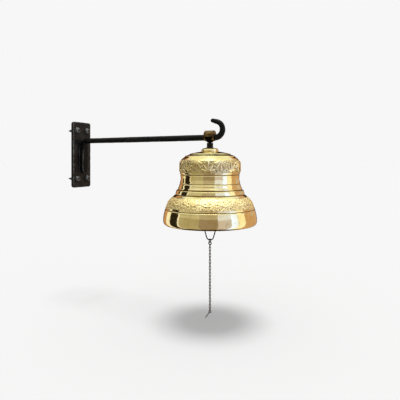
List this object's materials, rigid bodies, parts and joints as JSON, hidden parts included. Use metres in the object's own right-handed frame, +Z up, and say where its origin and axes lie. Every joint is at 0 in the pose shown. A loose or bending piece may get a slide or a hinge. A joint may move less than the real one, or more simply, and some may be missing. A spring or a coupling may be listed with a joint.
{
  "type": "ship bell",
  "caption": "Flared brass bell with cast bands, hung by a sliding eye on a forged wall bracket whose arm ends in a hook, rung by a clapper on a chain pull.",
  "frame": {"origin": "centre of the four-screw pattern, on the back face of the wall plate", "axes": "+X out of the wall along the arm, +Z up, +Y to the right of somebody who faces the wall"},
  "size_m": [0.366, 0.15, 0.3271],
  "materials": {
    "polished_brass": "polished, lightly tarnished in the relief",
    "black_iron": "black paint over hammered iron, worn to metal on the edges",
    "black_screws": "black, satin",
    "aged_brass": "brown patina, satin",
    "chain_brass": "antique brass, dull in the hollows",
    "black_wire": "blackened steel wire",
    "clapper_iron": "rough, brown-black"
  },
  "bodies": {
    "bracket": {"back_plate": "black_iron", "bracket_arm": "black_iron", "foot_weld": "black_iron", "wall_screws": "black_screws"},
    "bush": {"pivot_bush": "aged_brass"},
    "bell": {"hanger_eye": "aged_brass", "crown_nut": "black_screws", "crown_cap": "polished_brass", "bell_shell": "polished_brass", "inner_washer": "aged_brass", "eye_nut": "aged_brass"},
    "shackle": {"clapper_shackle": "black_wire"},
    "clapper": {"clapper_rod": "clapper_iron", "clapper_ball": "clapper_iron"},
    "bail": {"pull_bail": "black_wire"},
    "ring_upper": {"pull_ring_upper": "chain_brass"},
    "ring_lower": {"pull_ring_lower": "chain_brass"},
    "chain_run_1": {"chain_link_01": "chain_brass", "chain_link_02": "chain_brass", "chain_link_03": "chain_brass"},
    "chain_run_2": {"chain_link_04": "chain_brass", "chain_link_05": "chain_brass", "chain_link_06": "chain_brass"},
    "chain_run_3": {"chain_link_07": "chain_brass", "chain_link_08": "chain_brass", "chain_link_09": "chain_brass"},
    "chain_run_4": {"chain_link_10": "chain_brass", "chain_link_11": "chain_brass", "chain_link_12": "chain_brass"},
    "chain_run_5": {"chain_link_13": "chain_brass", "chain_link_14": "chain_brass", "chain_link_15": "chain_brass"},
    "chain_run_6": {"chain_link_16": "chain_brass", "chain_link_17": "chain_brass", "chain_link_18": "chain_brass"},
    "chain_run_7": {"chain_link_19": "chain_brass", "chain_link_20": "chain_brass", "chain_link_21": "chain_brass"},
    "end_hook": {"chain_end_hook": "chain_brass"}
  },
  "joints": [
    {"name": "hanger_slide", "type": "slide", "parent": "bracket", "child": "bush", "axis": [1, 0, 0], "range_m": [-0.165, 0.0005]},
    {"name": "bell_swing", "type": "hinge", "parent": "bush", "child": "bell", "pos_m": [0.275, 0, 0.026], "axis": [1, 0, 0], "range_deg": [-50, 50]},
    {"name": "clapper_swing", "type": "hinge", "parent": "bell", "child": "shackle", "pos_m": [0.275, 0, -0.0172], "axis": [1, 0, 0], "range_deg": [-34, 34]},
    {"name": "clapper_sway", "type": "hinge", "parent": "shackle", "child": "clapper", "pos_m": [0.275, 0, -0.0247], "axis": [0, -1, 0], "range_deg": [-4, 4]},
    {"name": "bail_swing", "type": "hinge", "parent": "clapper", "child": "bail", "pos_m": [0.275, 0, -0.104], "axis": [-1, 0, 0], "range_deg": [-25, 25]},
    {"name": "ring_upper_swing", "type": "hinge", "parent": "bail", "child": "ring_upper", "pos_m": [0.275, 0, -0.1386], "axis": [1, 0, 0], "range_deg": [-30, 30]},
    {"name": "ring_lower_swing", "type": "hinge", "parent": "ring_upper", "child": "ring_lower", "pos_m": [0.275, 0, -0.1427], "axis": [0, -1, 0], "range_deg": [-30, 30]},
    {"name": "chain_joint_1", "type": "hinge", "parent": "ring_lower", "child": "chain_run_1", "pos_m": [0.275, 0, -0.14605], "axis": [1, 0, 0], "range_deg": [-25, 25]},
    {"name": "chain_joint_2", "type": "hinge", "parent": "chain_run_1", "child": "chain_run_2", "pos_m": [0.275, 0, -0.1613], "axis": [0, 1, 0], "range_deg": [-25, 25]},
    {"name": "chain_joint_3", "type": "hinge", "parent": "chain_run_2", "child": "chain_run_3", "pos_m": [0.275, 0, -0.1766], "axis": [-1, 0, 0], "range_deg": [-25, 25]},
    {"name": "chain_joint_4", "type": "hinge", "parent": "chain_run_3", "child": "chain_run_4", "pos_m": [0.275, 0, -0.1919], "axis": [0, -1, 0], "range_deg": [-25, 25]},
    {"name": "chain_joint_5", "type": "hinge", "parent": "chain_run_4", "child": "chain_run_5", "pos_m": [0.275, 0, -0.2072], "axis": [1, 0, 0], "range_deg": [-25, 25]},
    {"name": "chain_joint_6", "type": "hinge", "parent": "chain_run_5", "child": "chain_run_6", "pos_m": [0.275, 0, -0.2225], "axis": [0, 1, 0], "range_deg": [-25, 25]},
    {"name": "chain_joint_7", "type": "hinge", "parent": "chain_run_6", "child": "chain_run_7", "pos_m": [0.275, 0, -0.2378], "axis": [-1, 0, 0], "range_deg": [-25, 25]},
    {"name": "end_hook_swing", "type": "hinge", "parent": "chain_run_7", "child": "end_hook", "pos_m": [0.275, 0, -0.2531], "axis": [0, -1, 0], "range_deg": [-30, 45]}
  ]
}
